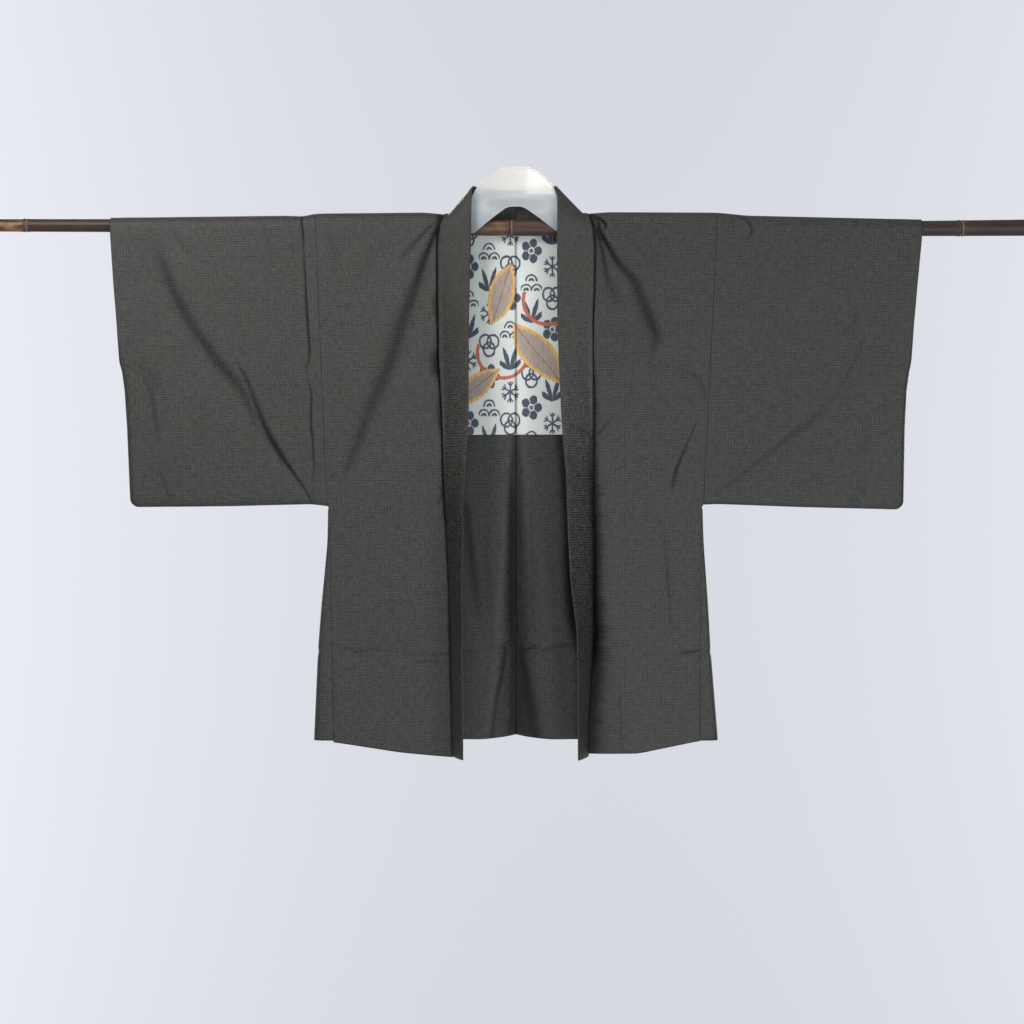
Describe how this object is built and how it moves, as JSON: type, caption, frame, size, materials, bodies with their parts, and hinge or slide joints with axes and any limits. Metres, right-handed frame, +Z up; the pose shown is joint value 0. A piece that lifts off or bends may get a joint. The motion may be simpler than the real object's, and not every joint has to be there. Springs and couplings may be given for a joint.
{
  "type": "haori jacket on a bamboo rod",
  "caption": "Open-fronted hip-length silk jacket with folded collar and wide square sleeves, hanging threaded on a bamboo rod with a clear collar keeper in its neck.",
  "frame": {"origin": "on the rod's axis, under the jacket's neck and at its middle", "axes": "+X along the rod, +Z up; the jacket's front faces -Y, and left is the -X side as seen from the front"},
  "size_m": [1.8, 0.13, 0.9785],
  "materials": {
    "outer_silk": "dull slubbed silk with a fine check, dark olive grey",
    "collar_silk": "the same silk, folded double",
    "lining_silk": "smooth pale grey-green silk with an ink pattern",
    "bamboo": "smoked bamboo, mottled brown, satin",
    "keeper_plastic": "milky translucent plastic, satin"
  },
  "bodies": {
    "root": {"body_left": "outer_silk", "body_right": "outer_silk", "sleeve_left": "outer_silk", "sleeve_right": "outer_silk", "gusset_left": "outer_silk", "gusset_right": "outer_silk", "collar_left": "collar_silk", "collar_right": "collar_silk", "lining_left": "lining_silk", "lining_right": "lining_silk", "rod": "bamboo", "collar_keeper": "keeper_plastic"}
  },
  "joints": []
}
